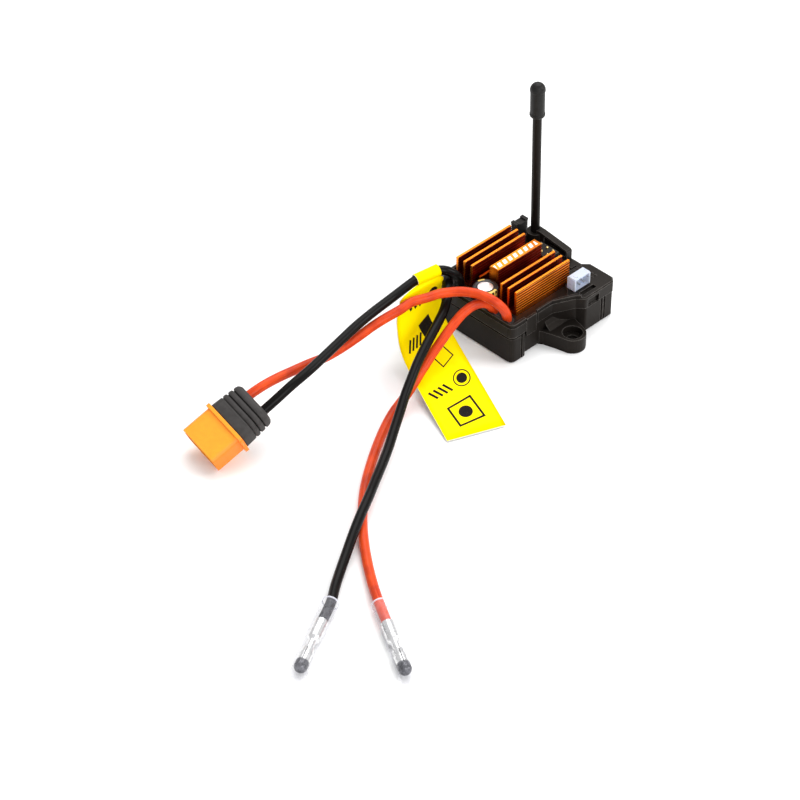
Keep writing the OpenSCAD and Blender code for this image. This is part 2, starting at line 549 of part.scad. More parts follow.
// Bullet terminal: crimp barrel, collar, neck and slotted plug with a round tip
module bullet() difference() {
    translate([0, 0, 8]) rotate_extrude($fn = 48) polygon(concat(
        [[0, 0], [1.85, 0], [2, 0.2], [2, 7], [1.8, 7.3], [1.15, 8], [1.15, 10.6], [1.75, 11.2],
            [1.95, 13.5], [1.95, 17]],
        [for (a = [0 : 15 : 90]) [0.3 + 1.65 * cos(a), 18 + 1.9 * sin(a)]]));
    translate([0, 0, 7]) cylinder(h = 4, r = lead_d / 2, $fn = 32);
    for (a = [0, 90]) rotate(a) translate([-0.15, -3, 8 + 11.8]) cube([0.3, 6, 5.6]);
}
module red_bullet() color("#b9b9b6") on_end(red_end, red_turn) bullet();
module black_bullet() color("#b9b9b6") on_end(black_end, black_turn) bullet();
module clear_sleeve() rotate_extrude($fn = 48) polygon([[sleeve_r - 0.35, 0], [sleeve_r, 0],
    [sleeve_r, sleeve_len], [sleeve_r - 0.35, sleeve_len]]);
module red_sleeve() color("#e8e8ee", 0.35) on_end(red_end, red_turn) clear_sleeve();
module black_sleeve() color("#e8e8ee", 0.35) on_end(black_end, black_turn) clear_sleeve();

// ---- tag ----
// Left and right edge points of the hanging strip, from the lead down to its free end
tag_left = [[-10.2, -41, 21.4], [-10.3, -41.4, 19], [-9.2, -43.8, 16], [-7.6, -45.2, 12.6],
    [-5.4, -46.4, 8.6], [-1.8, -47.8, 5.8], [4, -50, 3.9], [14.1, -54.2, 2.4], [29, -60.3, 0.5]];
tag_right = [[-9.7, -23.4, 20.6], [-10.2, -23.6, 17.5], [-10.4, -23.7, 14], [-9.8, -23.9, 10.6],
    [-8, -24.6, 7.8], [-4, -26.2, 5.8], [3, -29.1, 4.6], [16, -34.4, 3], [36.2, -42.6, 0.5]];
// The narrow end wraps the black battery lead
wrap_at = [-11.6, -28.5, 23.1];
wrap_axis = unit([-1.5, -7.8, -0.4]);
wrap_side = unit(cross([0, 0, 1], wrap_axis));
wrap_up = cross(wrap_axis, wrap_side);
function wrapped(half_w) = [for (a = [290 : -30 : -40]) wrap_at + half_w * wrap_axis
    + (lead_d / 2 + 0.15) * (cos(a) * wrap_side + sin(a) * wrap_up)];
edge_left = concat(wrapped(4.2), tag_left);
edge_right = concat(wrapped(-4.2), tag_right);
function tag_normal(i) = let (
    a = max(0, i - 1), b = min(len(edge_left) - 1, i + 1),
    along = edge_left[b] + edge_right[b] - edge_left[a] - edge_right[a]
) tag_t * unit(cross(edge_right[i] - edge_left[i], along));
module lead_tag() color("#ffe600") skin([for (i = [0 : len(edge_left) - 1]) let (n = tag_normal(i))
    [edge_left[i], edge_right[i], edge_right[i] - n, edge_left[i] - n]], crossed = [2]);

case_tub();
top_cover();
case_seal();
heatsink();
heatsink_screws();
thermal_pad();
circuit_board();
power_transistors();
control_chips();
supply_coil();
solder_posts();
capacitor_can();
capacitor_sleeve();
fan_socket();
fan_pins();
header_base();
header_pins();
bind_plug();
bind_plug_clip();
antenna_tube();
antenna_cap();
antenna_wire();
collar_screw();
lead_grommets();
battery_lead_red();
battery_lead_black();
motor_lead_red();
motor_lead_black();
plug_housing();
plug_boot();
plug_contacts();
red_bullet();
black_bullet();
red_sleeve();
black_sleeve();
lead_tag();
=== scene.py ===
"""Looks of the electronic speed controller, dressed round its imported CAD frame."""

import math

import bpy
import numpy as np
from mathutils import Euler, Matrix, Vector


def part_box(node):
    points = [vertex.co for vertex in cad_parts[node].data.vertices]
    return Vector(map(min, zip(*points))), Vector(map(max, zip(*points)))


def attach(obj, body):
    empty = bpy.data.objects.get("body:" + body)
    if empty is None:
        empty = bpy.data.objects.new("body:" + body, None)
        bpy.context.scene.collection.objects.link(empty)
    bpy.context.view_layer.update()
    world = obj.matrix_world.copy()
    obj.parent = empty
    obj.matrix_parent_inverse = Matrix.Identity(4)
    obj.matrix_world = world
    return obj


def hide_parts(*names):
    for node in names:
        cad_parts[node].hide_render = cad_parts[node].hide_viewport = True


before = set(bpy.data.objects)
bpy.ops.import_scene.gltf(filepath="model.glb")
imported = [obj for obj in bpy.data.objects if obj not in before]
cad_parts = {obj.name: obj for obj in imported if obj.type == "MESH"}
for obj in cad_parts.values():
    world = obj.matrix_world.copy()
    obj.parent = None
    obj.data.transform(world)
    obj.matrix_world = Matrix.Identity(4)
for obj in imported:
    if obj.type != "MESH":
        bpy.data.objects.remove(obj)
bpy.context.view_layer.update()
MM = 0.001

# ---------------------------------------------------------------- camera
# Places and distance in metres, lens in millimetres
AIM = Vector((0.0141, -0.0652, 0.0106))
AZIMUTH, ELEVATION = math.radians(45.44), math.radians(40.2)
DISTANCE = 0.888
LENS = 135


def add_camera():
    """Long lens looking down on the front right corner of the case."""
    back = Vector((math.sin(AZIMUTH) * math.cos(ELEVATION),
                   -math.cos(AZIMUTH) * math.cos(ELEVATION), math.sin(ELEVATION)))
    data = bpy.data.cameras.new("camera")
    data.lens = LENS
    data.clip_start = 0.05
    camera = bpy.data.objects.new("camera", data)
    camera.location = AIM + DISTANCE * back
    camera.rotation_euler = back.to_track_quat("Z", "Y").to_euler()
    bpy.context.scene.collection.objects.link(camera)
    bpy.context.scene.camera = camera


add_camera()


# ---------------------------------------------------------------- mesh helpers
def make(name, verts, faces, body="controller"):
    """A smooth mesh piece from points in metres, riding on a CAD body."""
    mesh = bpy.data.meshes.new(name)
    mesh.from_pydata([tuple(v) for v in verts], [], faces)
    mesh.update()
    mesh.polygons.foreach_set("use_smooth", [True] * len(mesh.polygons))
    piece = bpy.data.objects.new(name, mesh)
    bpy.context.scene.collection.objects.link(piece)
    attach(piece, body)
    return piece


def tag_points(piece, name, values):
    """Stores one vector at each point of a piece, for its material to read."""
    data = piece.data.attributes.new(name, "FLOAT_VECTOR", "POINT")
    data.data.foreach_set("vector", np.asarray(values, np.float32).ravel())


def smooth_line(points, steps):
    """Catmull-Rom line through the points, with steps between each two."""
    p = np.asarray(points, float)
    p = np.vstack([2 * p[0] - p[1], p, 2 * p[-1] - p[-2]])
    out = []
    for a, b, c, d in zip(p, p[1:], p[2:], p[3:]):
        for t in np.arange(steps) / steps:
            out.append(0.5 * (2 * b + (c - a) * t + (2 * a - 5 * b + 4 * c - d) * t ** 2
                              + (3 * b - a - 3 * c + d) * t ** 3))
    out.append(p[-2])
    return np.array(out)


def run(line):
    """Length along a line at each of its points."""
    return np.concatenate([[0], np.cumsum(np.linalg.norm(np.diff(line, axis=0), axis=1))])


def frames(line):
    """Two vectors square to the line at each point, turning as little as they can."""
    along = np.gradient(line, axis=0)
    along /= np.linalg.norm(along, axis=1)[:, None]
    side = np.cross(along[0], (1, 0, 0.2))
    sides = []
    for a in along:
        side = side - a * (side @ a)
        side /= np.linalg.norm(side)
        sides.append(side)
    sides = np.array(sides)
    return sides, np.cross(along, sides)


def grid_faces(rows, columns, closed):
    """Quads between rows of points; closed joins each row's last point to its first."""
    last = columns if closed else columns - 1
    return [(i * columns + j, i * columns + (j + 1) % columns,
             (i + 1) * columns + (j + 1) % columns, (i + 1) * columns + j)
            for i in range(rows - 1) for j in range(last)]


def tube(name, line, radius, sides=20):
    """A capped tube along a line; its points carry the run in mm and the angle round it."""
    u, v = frames(line)
    turn = np.arange(sides) * 2 * math.pi / sides
    rings = line[:, None] + radius * (
        u[:, None] * np.cos(turn)[None, :, None] + v[:, None] * np.sin(turn)[None, :, None])
    faces = grid_faces(len(line), sides, True)
    faces += [tuple(reversed(range(sides))),
              tuple(range((len(line) - 1) * sides, len(line) * sides))]
    piece = make(name, rings.reshape(-1, 3), faces)
    length = run(line) / MM
    tag_points(piece, "strip", [(s, a, 0) for s in length for a in turn])
    return piece


def lathe(name, profile, at, sides=64):
    """A profile of (radius, height) points in mm turned round the upright line at a place."""
    verts = [at + Vector((r * math.cos(a), r * math.sin(a), h)) * MM
             for r, h in profile for a in np.arange(sides) * 2 * math.pi / sides]
    return make(name, verts, grid_faces(len(profile), sides, True))


def sharpen(piece, angle):
    """Keeps edges hard where a smooth-shaded piece bends by more than an angle in degrees."""
    bpy.context.view_layer.objects.active = piece
    piece.select_set(True)
    bpy.ops.object.shade_smooth_by_angle(angle=math.radians(angle))
    piece.select_set(False)


# ---------------------------------------------------------------- battery plug's boot
LEAD_RADIUS = 1.5 * MM
# The plug's frame as in the CAD source: +X towards the mating face, Y across, Z through
PLUG_AT = Vector((-13.6, -108.86, 9.32))
PLUG_TURN = Euler([math.radians(a) for a in (-11.8, 25, -100.6)]).to_matrix()
# Along the plug's X in mm: the boot's ends, its grooves with their depths, its bulges
BOOT_FRONT, BOOT_REAR = -0.5, -11.0
BOOT_GROOVES = ((-4.6, 0.34), (-6.4, 0.55), (-8.4, 0.55))
BOOT_BULGES = (-5.5, -7.4, -9.3)
# Width, thickness and corner radius of the boot at its front, and of the housing inside it
BOOT_WIDTH, BOOT_THICK, BOOT_CORNER = 16.1, 8.55, 3
POCKET = (14, 6.6, 1.6)
POCKET_END = -6.05
LEAD_HOLE = (3.1, 3.1, 1.54)
LEAD_SPREAD = 3.6


def rounded_ring(width, thick, radius, steps=8):
    """Points of a rounded rectangle in the plug's Y and Z."""
    out = []
    for quarter, (sy, sz) in enumerate(((1, 1), (-1, 1), (-1, -1), (1, -1))):
        for k in range(steps + 1):
            a = math.radians(90 * quarter + 90 * k / steps)
            out.append((sy * (width / 2 - radius) + radius * math.cos(a),
                        sz * (thick / 2 - radius) + radius * math.sin(a)))
    return out


def plug_loft(name, sections):
    """A closed solid through rounded rectangles (x, width, thickness, radius) in mm."""
    rings = [[PLUG_AT + PLUG_TURN @ Vector((x, y, z)) for y, z in rounded_ring(w, t, r)]
             for x, w, t, r in sections]
    n = len(rings[0])
    faces = [f[::-1] for f in grid_faces(len(rings), n, True)]
    faces += [tuple(range(n)), tuple(reversed(range((len(rings) - 1) * n, len(rings) * n)))]
    return make(name, [p * MM for ring in rings for p in ring], faces)


def cut(piece, tools):
    """Takes the tool solids out of a piece and deletes them."""
    for tool in tools:
        change = piece.modifiers.new("cut", "BOOLEAN")
        change.operation, change.solver, change.object = "DIFFERENCE", "EXACT", tool
        with bpy.context.temp_override(object=piece, active_object=piece):
            bpy.ops.object.modifier_apply(modifier=change.name)
        bpy.data.objects.remove(tool, do_unlink=True)


def add_boot():
    """Soft boot: swollen body, three wave grooves, tapered end with a hole for each lead."""
    stations = []
    for x in np.arange(BOOT_FRONT, BOOT_REAR - 0.01, -0.1):
        taper = 1 - 0.1 * ((BOOT_FRONT - x) / (BOOT_FRONT - BOOT_REAR)) ** 1.3
        dip = sum(deep * math.exp(-((x - at) / 0.2) ** 2) for at, deep in BOOT_GROOVES)
        swell = sum(0.1 * math.exp(-((x - at) / 0.55) ** 2) for at in BOOT_BULGES)
        ends = (0.8 * max(0, 1 - (x - BOOT_REAR) / 1.1) ** 2
                + 0.2 * max(0, 1 + (x - BOOT_FRONT) / 0.4) ** 2)
        shrink = 2 * (ends + dip - swell)
        stations.append((x, BOOT_WIDTH * taper - shrink, BOOT_THICK * taper - shrink,
                         BOOT_CORNER * taper - shrink / 3))
    boot = plug_loft("plug_boot_skin", stations)
    holes = [plug_loft("tool", [(POCKET_END + 0.15, *LEAD_HOLE), (BOOT_REAR - 1, *LEAD_HOLE)])
             for _ in range(2)]
    for hole, side in zip(holes, (-LEAD_SPREAD, LEAD_SPREAD)):
        hole.data.transform(Matrix.Translation(PLUG_TURN @ Vector((0, side, 0)) * MM))
    pocket = plug_loft("tool", [(0, *POCKET), (POCKET_END, *POCKET)])
    cut(boot, holes + [pocket])
    sharpen(boot, 35)
    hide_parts("plug_boot")
    return boot


boot = add_boot()


# ---------------------------------------------------------------- leads
# Routes in millimetres, from inside the case to the far end, as in the CAD source
BATTERY_RED = [
    (12.4, -17.8, 11), (12.4, -17.8, 13.3), (12.5, -18.25, 15.7), (12.2, -19.1, 17.8),
    (11.3, -20.1, 19.6), (9.8, -21, 20.9), (7.7, -21.8, 21.6), (5.1, -22.7, 21.9),
    (2.6, -24, 21.9), (0.1, -25.7, 21.8), (-2.1, -28.1, 21.6), (-4, -31, 21.5),
    (-5.2, -34.4, 21.35), (-7.5, -39, 20.8), (-8, -43.4, 20), (-9.2, -48.2, 18.9),
    (-10.3, -52.7, 17.6), (-10.6, -58.8, 16.6), (-10.8, -65, 16), (-11.3, -71.4, 15.7),
    (-12.5, -77, 15.7), (-13.2, -82.5, 15.9), (-13.8, -88.5, 16.2), (-14.4, -94.2, 15.9),
    (-15.3, -98.9, 14.5), (-15.9, -102.3, 12.9)]
BATTERY_BLACK = [
    (-8, -17.8, 11), (-8, -17.8, 13.8), (-7.7, -18.06, 17.02), (-7.64, -19.12, 19.6),
    (-8.2, -20.59, 21.45), (-9.49, -22.49, 22.83), (-10.81, -24.74, 23.29),
    (-11.74, -28.19, 23.15), (-12.38, -32.46, 22.93), (-12.5, -38.4, 22.1),
    (-12.5, -43.4, 21.4), (-12.1, -50.8, 20.9), (-11.2, -58.4, 20.6), (-9.8, -66, 20.3),
    (-8.1, -74.5, 20), (-7, -82, 19.3), (-6.9, -89, 17.9), (-7.4, -94.9, 15.6),
    (-8.3, -99.6, 13.2), (-8.9, -103, 11.6)]
MOTOR_RED = [
    (6.7, -17.8, 11), (6.7, -17.8, 12.6), (6.6, -18.35, 15.1), (6.2, -19.9, 17.2),
    (5.4, -22.2, 18.35), (4.4, -25, 18.1), (3.7, -28.2, 16.75), (3.6, -31.4, 15.1),
    (4, -35.2, 13.4), (4.5, -39.1, 11.5), (5, -42.8, 9.7), (5.8, -46.1, 8.4),
    (6.6, -49.3, 7.3), (8.1, -54.5, 5.6), (9, -58.6, 4.2), (10.4, -64.6, 2.8),
    (13.2, -71, 1.9), (17.2, -78, 1.6), (22, -85.3, 1.5), (27, -92.1, 1.5),
    (32.4, -98.2, 1.5), (37.8, -103.7, 1.5), (44.7, -109.6, 1.5), (52.4, -115.4, 1.6),
    (59.6, -120.3, 2), (66, -124.2, 2.5), (74.6, -129, 2.6)]
MOTOR_BLACK = [
    (-12.8, -17.8, 11), (-12.8, -17.8, 13), (-12.4, -18.4, 15.8), (-11.1, -20.1, 17.9),
    (-9.2, -22.2, 18.6), (-6.9, -24.2, 18.4), (-4.4, -26.8, 17.5), (-2, -30.6, 16.2),
    (0, -35, 15.2), (2.4, -40.6, 14.2), (4.7, -46, 13.1), (7, -51, 12), (9.4, -55.8, 10.5),
    (11.9, -60.8, 8.7), (14.9, -66, 7), (18.4, -71.9, 5.5), (22.2, -78, 4.5),
    (26, -84.3, 4.3), (29.9, -90.9, 4.5), (33.9, -97.5, 4.8), (37.6, -104.2, 4.6),
    (41.1, -110.5, 3.7), (44.5, -116.3, 2.7), (48, -122, 2.2), (51.8, -127.7, 2.3),
    (56, -133.4, 2.6), (60.2, -141.3, 2.6)]
PLUG = ["plug_housing", "plug_boot", "plug_contacts"]
# Node, route, real length in metres, far end, pieces at the far end
LEADS = [
    ("battery_lead_red", BATTERY_RED, 0.103, "plug", PLUG),
    ("battery_lead_black", BATTERY_BLACK, 0.097, "plug", PLUG),
    ("motor_lead_red", MOTOR_RED, 0.149, "connector", ["red_bullet"]),
    ("motor_lead_black", MOTOR_BLACK, 0.151, "connector", ["black_bullet"])]


def add_lead(node, route, length, far_end, carried):
    """Round silicone jacket along a route."""
    line = smooth_line(np.array(route) * MM, 6)
    piece = tube(node + "_jacket", line, LEAD_RADIUS)
    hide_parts(node)
    return piece


leads = {node: add_lead(node, *facts) for node, *facts in LEADS}


# ---------------------------------------------------------------- clear sleeves
# Outer radius, wall, length, height of the soft waves and width of the rolled lips in mm
SLEEVE_OUT, SLEEVE_WALL, SLEEVE_LEN = 2.6, 0.35, 36
SLEEVE_WAVE, SLEEVE_LIP = 0.045, 0.12
# Node, start of the terminal's axis in mm, direction in the ground plane
ENDS = {
    "red_sleeve": (Vector((66, -124.2, SLEEVE_OUT)), Vector((32.2, -17.9, 0)).normalized()),
    "black_sleeve": (Vector((56, -133.4, SLEEVE_OUT)), Vector((16.9, -31.6, 0)).normalized())}


def add_sleeve(node):
    """Thin clear sleeve with rolled ends and soft waves where it was pushed over the crimp."""
    start, axis = ENDS[node]
    sides, steps = 48, 60
    inner = SLEEVE_OUT - SLEEVE_WALL
    side, up = Vector((-axis.y, axis.x, 0)), Vector((0, 0, 1))

    def point(radius, s, a):
        wave = math.sin(0.9 * s + 1.5 * math.sin(a)) * math.sin(math.pi * s / SLEEVE_LEN)
        r = (radius + SLEEVE_WAVE * wave) * MM
        return start * MM + axis * s * MM + r * (math.cos(a) * side + math.sin(a) * up)

    lip = SLEEVE_LIP
    runs = [lip + (SLEEVE_LEN - 2 * lip) * k / steps for k in range(steps + 1)]
    stations = ([(SLEEVE_OUT - lip, 0), (SLEEVE_OUT - 0.04, lip / 2)]
                + [(SLEEVE_OUT - 0.05, s) for s in runs]
                + [(SLEEVE_OUT - 0.04, SLEEVE_LEN - lip / 2), (SLEEVE_OUT - lip, SLEEVE_LEN),
                   (inner + lip / 2, SLEEVE_LEN)]
                + [(inner, s) for s in reversed(runs)] + [(inner + lip / 2, 0)])
    turns = np.arange(sides) * 2 * math.pi / sides
    verts = [point(r, s, a) for r, s in stations for a in turns]
    rows = len(stations)
    faces = grid_faces(rows, sides, True)
    faces += [((rows - 1) * sides + j, (rows - 1) * sides + (j + 1) % sides, (j + 1) % sides, j)
              for j in range(sides)]
    piece = make(node + "_vinyl", verts, faces, node)
    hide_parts(node)
    return piece


sleeves = [add_sleeve(node) for node in ENDS]


# ---------------------------------------------------------------- tag
# Thickness of the tag and its gap from the lead that it wraps, in mm
TAG_T, TAG_GAP = 0.3, 0.15
# Edge points of the tag's hanging strip in millimetres, as in the CAD source
TAG_LEFT = [(-10.2, -41, 21.4), (-10.3, -41.4, 19), (-9.2, -43.8, 16), (-7.6, -45.2, 12.6),
            (-5.4, -46.4, 8.6), (-1.8, -47.8, 5.8), (4, -50, 3.9), (14.1, -54.2, 2.4),
            (29, -60.3, 0.5)]
TAG_RIGHT = [(-9.7, -23.4, 20.6), (-10.2, -23.6, 17.5), (-10.4, -23.7, 14), (-9.8, -23.9, 10.6),
             (-8, -24.6, 7.8), (-4, -26.2, 5.8), (3, -29.1, 4.6), (16, -34.4, 3),
             (36.2, -42.6, 0.5)]
# The wrap round the lead: centre, half width, direction and the turn of its points in degrees
WRAP_AT, WRAP_HALF = np.array((-11.6, -28.5, 23.1)), 4.2
WRAP_AXIS = np.array(Vector((-1.5, -7.8, -0.4)).normalized())
WRAP_TURN = np.arange(290, -41, -30)


def add_tag():
    """Printed strip: one end wraps the black battery lead, the other rests on the floor."""
    side = np.cross((0, 0, 1), WRAP_AXIS)
    side /= np.linalg.norm(side)
    up = np.cross(WRAP_AXIS, side)
    radius = LEAD_RADIUS / MM + TAG_GAP
    wrap = [WRAP_AT + radius * (math.cos(a) * side + math.sin(a) * up)
            for a in np.radians(WRAP_TURN)]
    left = smooth_line([p + WRAP_HALF * WRAP_AXIS for p in wrap] + TAG_LEFT, 6)
    right = smooth_line([p - WRAP_HALF * WRAP_AXIS for p in wrap] + TAG_RIGHT, 6)
    rows, across = len(left), 13
    t = np.linspace(0, 1, across)[None, :, None]
    sheet = left[:, None] * (1 - t) + right[:, None] * t
    along, over = np.gradient(sheet, axis=0), np.gradient(sheet, axis=1)
    normal = np.cross(over, along)
    normal /= np.linalg.norm(normal, axis=2)[:, :, None]
    back, front = sheet, sheet - normal * TAG_T
    verts = np.concatenate([front.reshape(-1, 3), back.reshape(-1, 3)]) * MM
    count = rows * across
    skin = grid_faces(rows, across, False)
    faces = [f[::-1] for f in skin] + [tuple(count + k for k in f) for f in skin]
    printed = len(faces) // 2
    edge = ([(i, 0) for i in range(rows)] + [(rows - 1, j) for j in range(1, across)]
            + [(i, across - 1) for i in range(rows - 2, -1, -1)]
            + [(0, j) for j in range(across - 2, 0, -1)])
    ring = [i * across + j for i, j in edge]
    faces += [(a, b, count + b, count + a) for a, b in zip(ring, ring[1:] + ring[:1])]
    piece = make("tag_strip", verts, faces)
    width = np.linalg.norm(right - left, axis=1)
    length = run((left + right) / 2)
    coords = [(width[i] * (j / (across - 1) - 0.5), length[-1] - length[i], 0)
              for i in range(rows) for j in range(across)]
    tag_points(piece, "strip", coords + coords)
    piece.data.materials.append(None)
    piece.data.materials.append(None)
    for k, face in enumerate(piece.data.polygons):
        face.material_index = 0 if k < printed else 1
    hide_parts("lead_tag")
    return piece


tag = add_tag()


# ---------------------------------------------------------------- capacitor
def add_capacitor():
    """Turned can with a rolled shoulder, and its shrunk sleeve with a folded lip."""
    low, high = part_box("capacitor_sleeve")
    at = Vector(((low[0] + high[0]) / 2, (low[1] + high[1]) / 2, 0))
    radius, bottom, top = (high[0] - low[0]) / 2 / MM, low[2] / MM, high[2] / MM
    can_low, can_high = (c[2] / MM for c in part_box("capacitor_can"))
    arc = np.radians(np.arange(0, 91, 15))
    can = ([(0, can_low), (radius - 0.3, can_low), (radius - 0.3, bottom + 1.4),
            (radius - 0.75, bottom + 1.9), (radius - 0.75, bottom + 2.3),
            (radius - 0.3, bottom + 2.8), (radius - 0.32, can_high - 0.9)]
           + [(radius - 1.1 + 0.75 * math.cos(a), can_high - 0.8 + 0.75 * math.sin(a))
              for a in arc] + [(1.2, can_high - 0.05), (0, can_high - 0.06)])
    shell = ([(radius - 0.28, bottom), (radius, bottom + 0.1), (radius, bottom + 1.3),
              (radius - 0.4, bottom + 1.9), (radius - 0.4, bottom + 2.3), (radius, bottom + 2.9)]
             + [(radius - 0.55 + 0.55 * math.cos(a), top - 0.55 + 0.55 * math.sin(a))
                for a in arc]
             + [(radius - 1.5, top - 0.02), (radius - 1.58, top - 0.1),
                (radius - 1.5, top - 0.2), (radius - 0.7, top - 0.3)])
    metal = lathe("capacitor_shell", can, at)
    film = lathe("capacitor_film", shell, at)
    for piece, node, finish in ((metal, "capacitor_can", "steel"),
                                (film, "capacitor_sleeve", "capacitor_film")):
        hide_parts(node)
    return metal, film


capacitor_metal, capacitor_film = add_capacitor()


# ---------------------------------------------------------------- material builder
class Paint:
    """One node-based material; lengths inside its patterns are millimetres."""

    def __init__(self, name, color, rough, **sockets):
        self.material = bpy.data.materials.new(name)
        self.material.use_nodes = True
        self.tree = self.material.node_tree
        self.shader = self.tree.nodes["Principled BSDF"]
        self.set(self.shader, {"Base Color": (*color, 1), "Roughness": rough, **sockets})
        place = self.add("ShaderNodeTexCoord").outputs["Object"]
        self.place = self.vector("MULTIPLY", place, (1000, 1000, 1000))

    def set(self, node, inputs):
        for key, value in inputs.items():
            socket = node.inputs[key]
            if isinstance(value, bpy.types.NodeSocket):
                self.tree.links.new(value, socket)
            else:
                socket.default_value = value

    def add(self, kind, inputs=None, **settings):
        node = self.tree.nodes.new(kind)
        for key, value in settings.items():
            setattr(node, key, value)
        self.set(node, inputs or {})
        return node

    def math(self, how, a, b=0.0, clamp=False):
        return self.add("ShaderNodeMath", {0: a, 1: b}, operation=how,
                        use_clamp=clamp).outputs[0]

    def vector(self, how, a, b):
        node = self.add("ShaderNodeVectorMath", {0: a, 1: b}, operation=how)
        return node.outputs["Value" if how == "DOT_PRODUCT" else "Vector"]

    def away(self, value, centre):
        """Distance of a value from a centre."""
        return self.math("ABSOLUTE", self.math("SUBTRACT", value, centre))

    def repeat(self, value, length):
        """How far a value is through a pattern that starts again after each length."""
        return self.math("FRACT", self.math("MULTIPLY", value, 1 / length))

    def split(self, vector):
        return self.add("ShaderNodeSeparateXYZ", {"Vector": vector}).outputs

    def normal(self):
        return self.add("ShaderNodeNewGeometry").outputs["Normal"]

    def noise(self, scale, detail=3.0, rough=0.55, stretch=None):
        """Noise with scale cycles in a millimetre, or drawn out along the axes by stretch."""
        place = self.place if stretch is None else self.vector("MULTIPLY", self.place, stretch)
        return self.add("ShaderNodeTexNoise", {
            "Vector": place, "Scale": scale, "Detail": detail, "Roughness": rough}).outputs["Fac"]

    def ramp(self, value, low, high, out_low=0.0, out_high=1.0):
        return self.add("ShaderNodeMapRange", {
            "Value": value, "From Min": low, "From Max": high,
            "To Min": out_low, "To Max": out_high}).outputs["Result"]

    def mix(self, factor, a, b):
        a, b = ((*c, 1) if isinstance(c, tuple) and len(c) == 3 else c for c in (a, b))
        node = self.add("ShaderNodeMix", data_type="RGBA")
        self.set(node, {0: factor, 6: a, 7: b})
        return node.outputs[2]

    def color(self, value):
        self.set(self.shader, {"Base Color": value})

    def rough(self, value):
        self.set(self.shader, {"Roughness": value})

    def edges(self, radius=0.35, low=0.006, high=0.16):
        """1 along convex and concave edges and 0 on flats, from rounded against true normals."""
        soft = self.add("ShaderNodeBevel", {"Radius": radius * MM}, samples=6).outputs[0]
        turned = self.math("SUBTRACT", 1.0, self.vector("DOT_PRODUCT", soft, self.normal()))
        return self.ramp(turned, low, high)

    def hollow_shade(self, reach=1.4):
        """1 deep in slots and corners, falling to 0 on open faces; the materials paint shade with
        it.
        """
        light = self.add("ShaderNodeAmbientOcclusion", {"Distance": reach * MM},
                         samples=8).outputs["AO"]
        return self.ramp(light, 0.8, 0.25)

    def relief(self, height, depth, bevel=0.0):
        """Bumps of the given depth in millimetres over edges rounded to a bevel radius."""
        bump = self.add("ShaderNodeBump", {"Height": height, "Distance": depth * MM,
                                           "Strength": 1.0})
        if bevel:
            soft = self.add("ShaderNodeBevel", {"Radius": bevel * MM}, samples=6)
            self.set(bump, {"Normal": soft.outputs[0]})
        self.set(self.shader, {"Normal": bump.outputs[0]})

    def box_mask(self, x, y, at, half, soft=0.04, turn=0.0):
        """1 inside a rectangle of the plane x, y and 0 outside."""
        dx, dy = self.math("SUBTRACT", x, at[0]), self.math("SUBTRACT", y, at[1])
        c, s = math.cos(turn), math.sin(turn)
        u = self.math("ADD", self.math("MULTIPLY", dx, c), self.math("MULTIPLY", dy, s))
        v = self.math("SUBTRACT", self.math("MULTIPLY", dy, c), self.math("MULTIPLY", dx, s))
        far = self.math("MAXIMUM", self.math("SUBTRACT", self.math("ABSOLUTE", u), half[0]),
                        self.math("SUBTRACT", self.math("ABSOLUTE", v), half[1]))
        return self.ramp(far, soft, -soft)

    def ring_mask(self, x, y, at, radius, half, soft=0.04):
        """1 on a ring of the plane x, y, or in a disc when half is the radius."""
        dx, dy = self.math("SUBTRACT", x, at[0]), self.math("SUBTRACT", y, at[1])
        far = self.math("SQRT", self.math("ADD", self.math("POWER", dx, 2.0),
                                          self.math("POWER", dy, 2.0)))
        return self.ramp(self.math("SUBTRACT", self.away(far, radius), half), soft, -soft)

    def union(self, masks):
        total = masks[0]
        for mask in masks[1:]:
            total = self.math("MAXIMUM", total, mask)
        return total


# ---------------------------------------------------------------- plastics and rubbers
def moulded(name, color, edge_rub_and_highlight, rough, grain=0.012, edge=0.35):
    """Moulded plastic: spark-eroded grain, faint mottling, paler edges that are partly rubbed wear
    and partly painted highlight, and painted shade in corners.
    """
    p = Paint(name, color, rough, **{"Specular IOR Level": 0.13,
                                     "Specular Tint": (1, 0.88, 0.78, 1)})
    fine = p.noise(5.5, 4, 0.6)
    cloud = p.noise(0.16, 3)
    mottled = p.mix(p.ramp(cloud, 0.3, 0.7), tuple(c * 0.82 for c in color),
                    tuple(min(1, c * 1.22) for c in color))
    # Paler edges: partly rubbed wear, partly painted highlight, kept out of the hollows
    rub_and_highlight = p.math("MULTIPLY", p.edges(edge), p.ramp(p.noise(0.9, 4), 0.3, 0.65, 0.35, 1.0))
    rub_and_highlight = p.math("SUBTRACT", rub_and_highlight, p.hollow_shade(0.9), clamp=True)
    # Painted shade darkens slots and corners
    p.color(p.mix(p.hollow_shade(), p.mix(rub_and_highlight, mottled, edge_rub_and_highlight), tuple(c * 0.25 for c in color)))
    p.rough(p.math("ADD", p.ramp(fine, 0.3, 0.7, rough - 0.05, rough + 0.06),
                   p.math("MULTIPLY", rub_and_highlight, -0.1)))
    p.relief(fine, grain, bevel=0.22)
    return p.material


def rubber(name, color, rough=0.6):
    """Soft rubber: dusty bloom in broad patches, painted shade in its grooves and a very fine
    skin.
    """
    p = Paint(name, color, rough, **{"Specular IOR Level": 0.2})
    bloom = p.ramp(p.noise(0.35, 5, 0.65), 0.42, 0.75)
    shade = p.mix(p.math("MULTIPLY", bloom, 0.5), color, tuple(c * 1.7 + 0.01 for c in color))
    # Painted shade darkens the grooves and hollows
    p.color(p.mix(p.hollow_shade(0.8), shade, tuple(c * 0.3 for c in color)))
    p.rough(p.ramp(bloom, 0, 1, rough - 0.06, rough + 0.1))
    p.relief(p.noise(9, 3), 0.006, bevel=0.12)
    return p.material


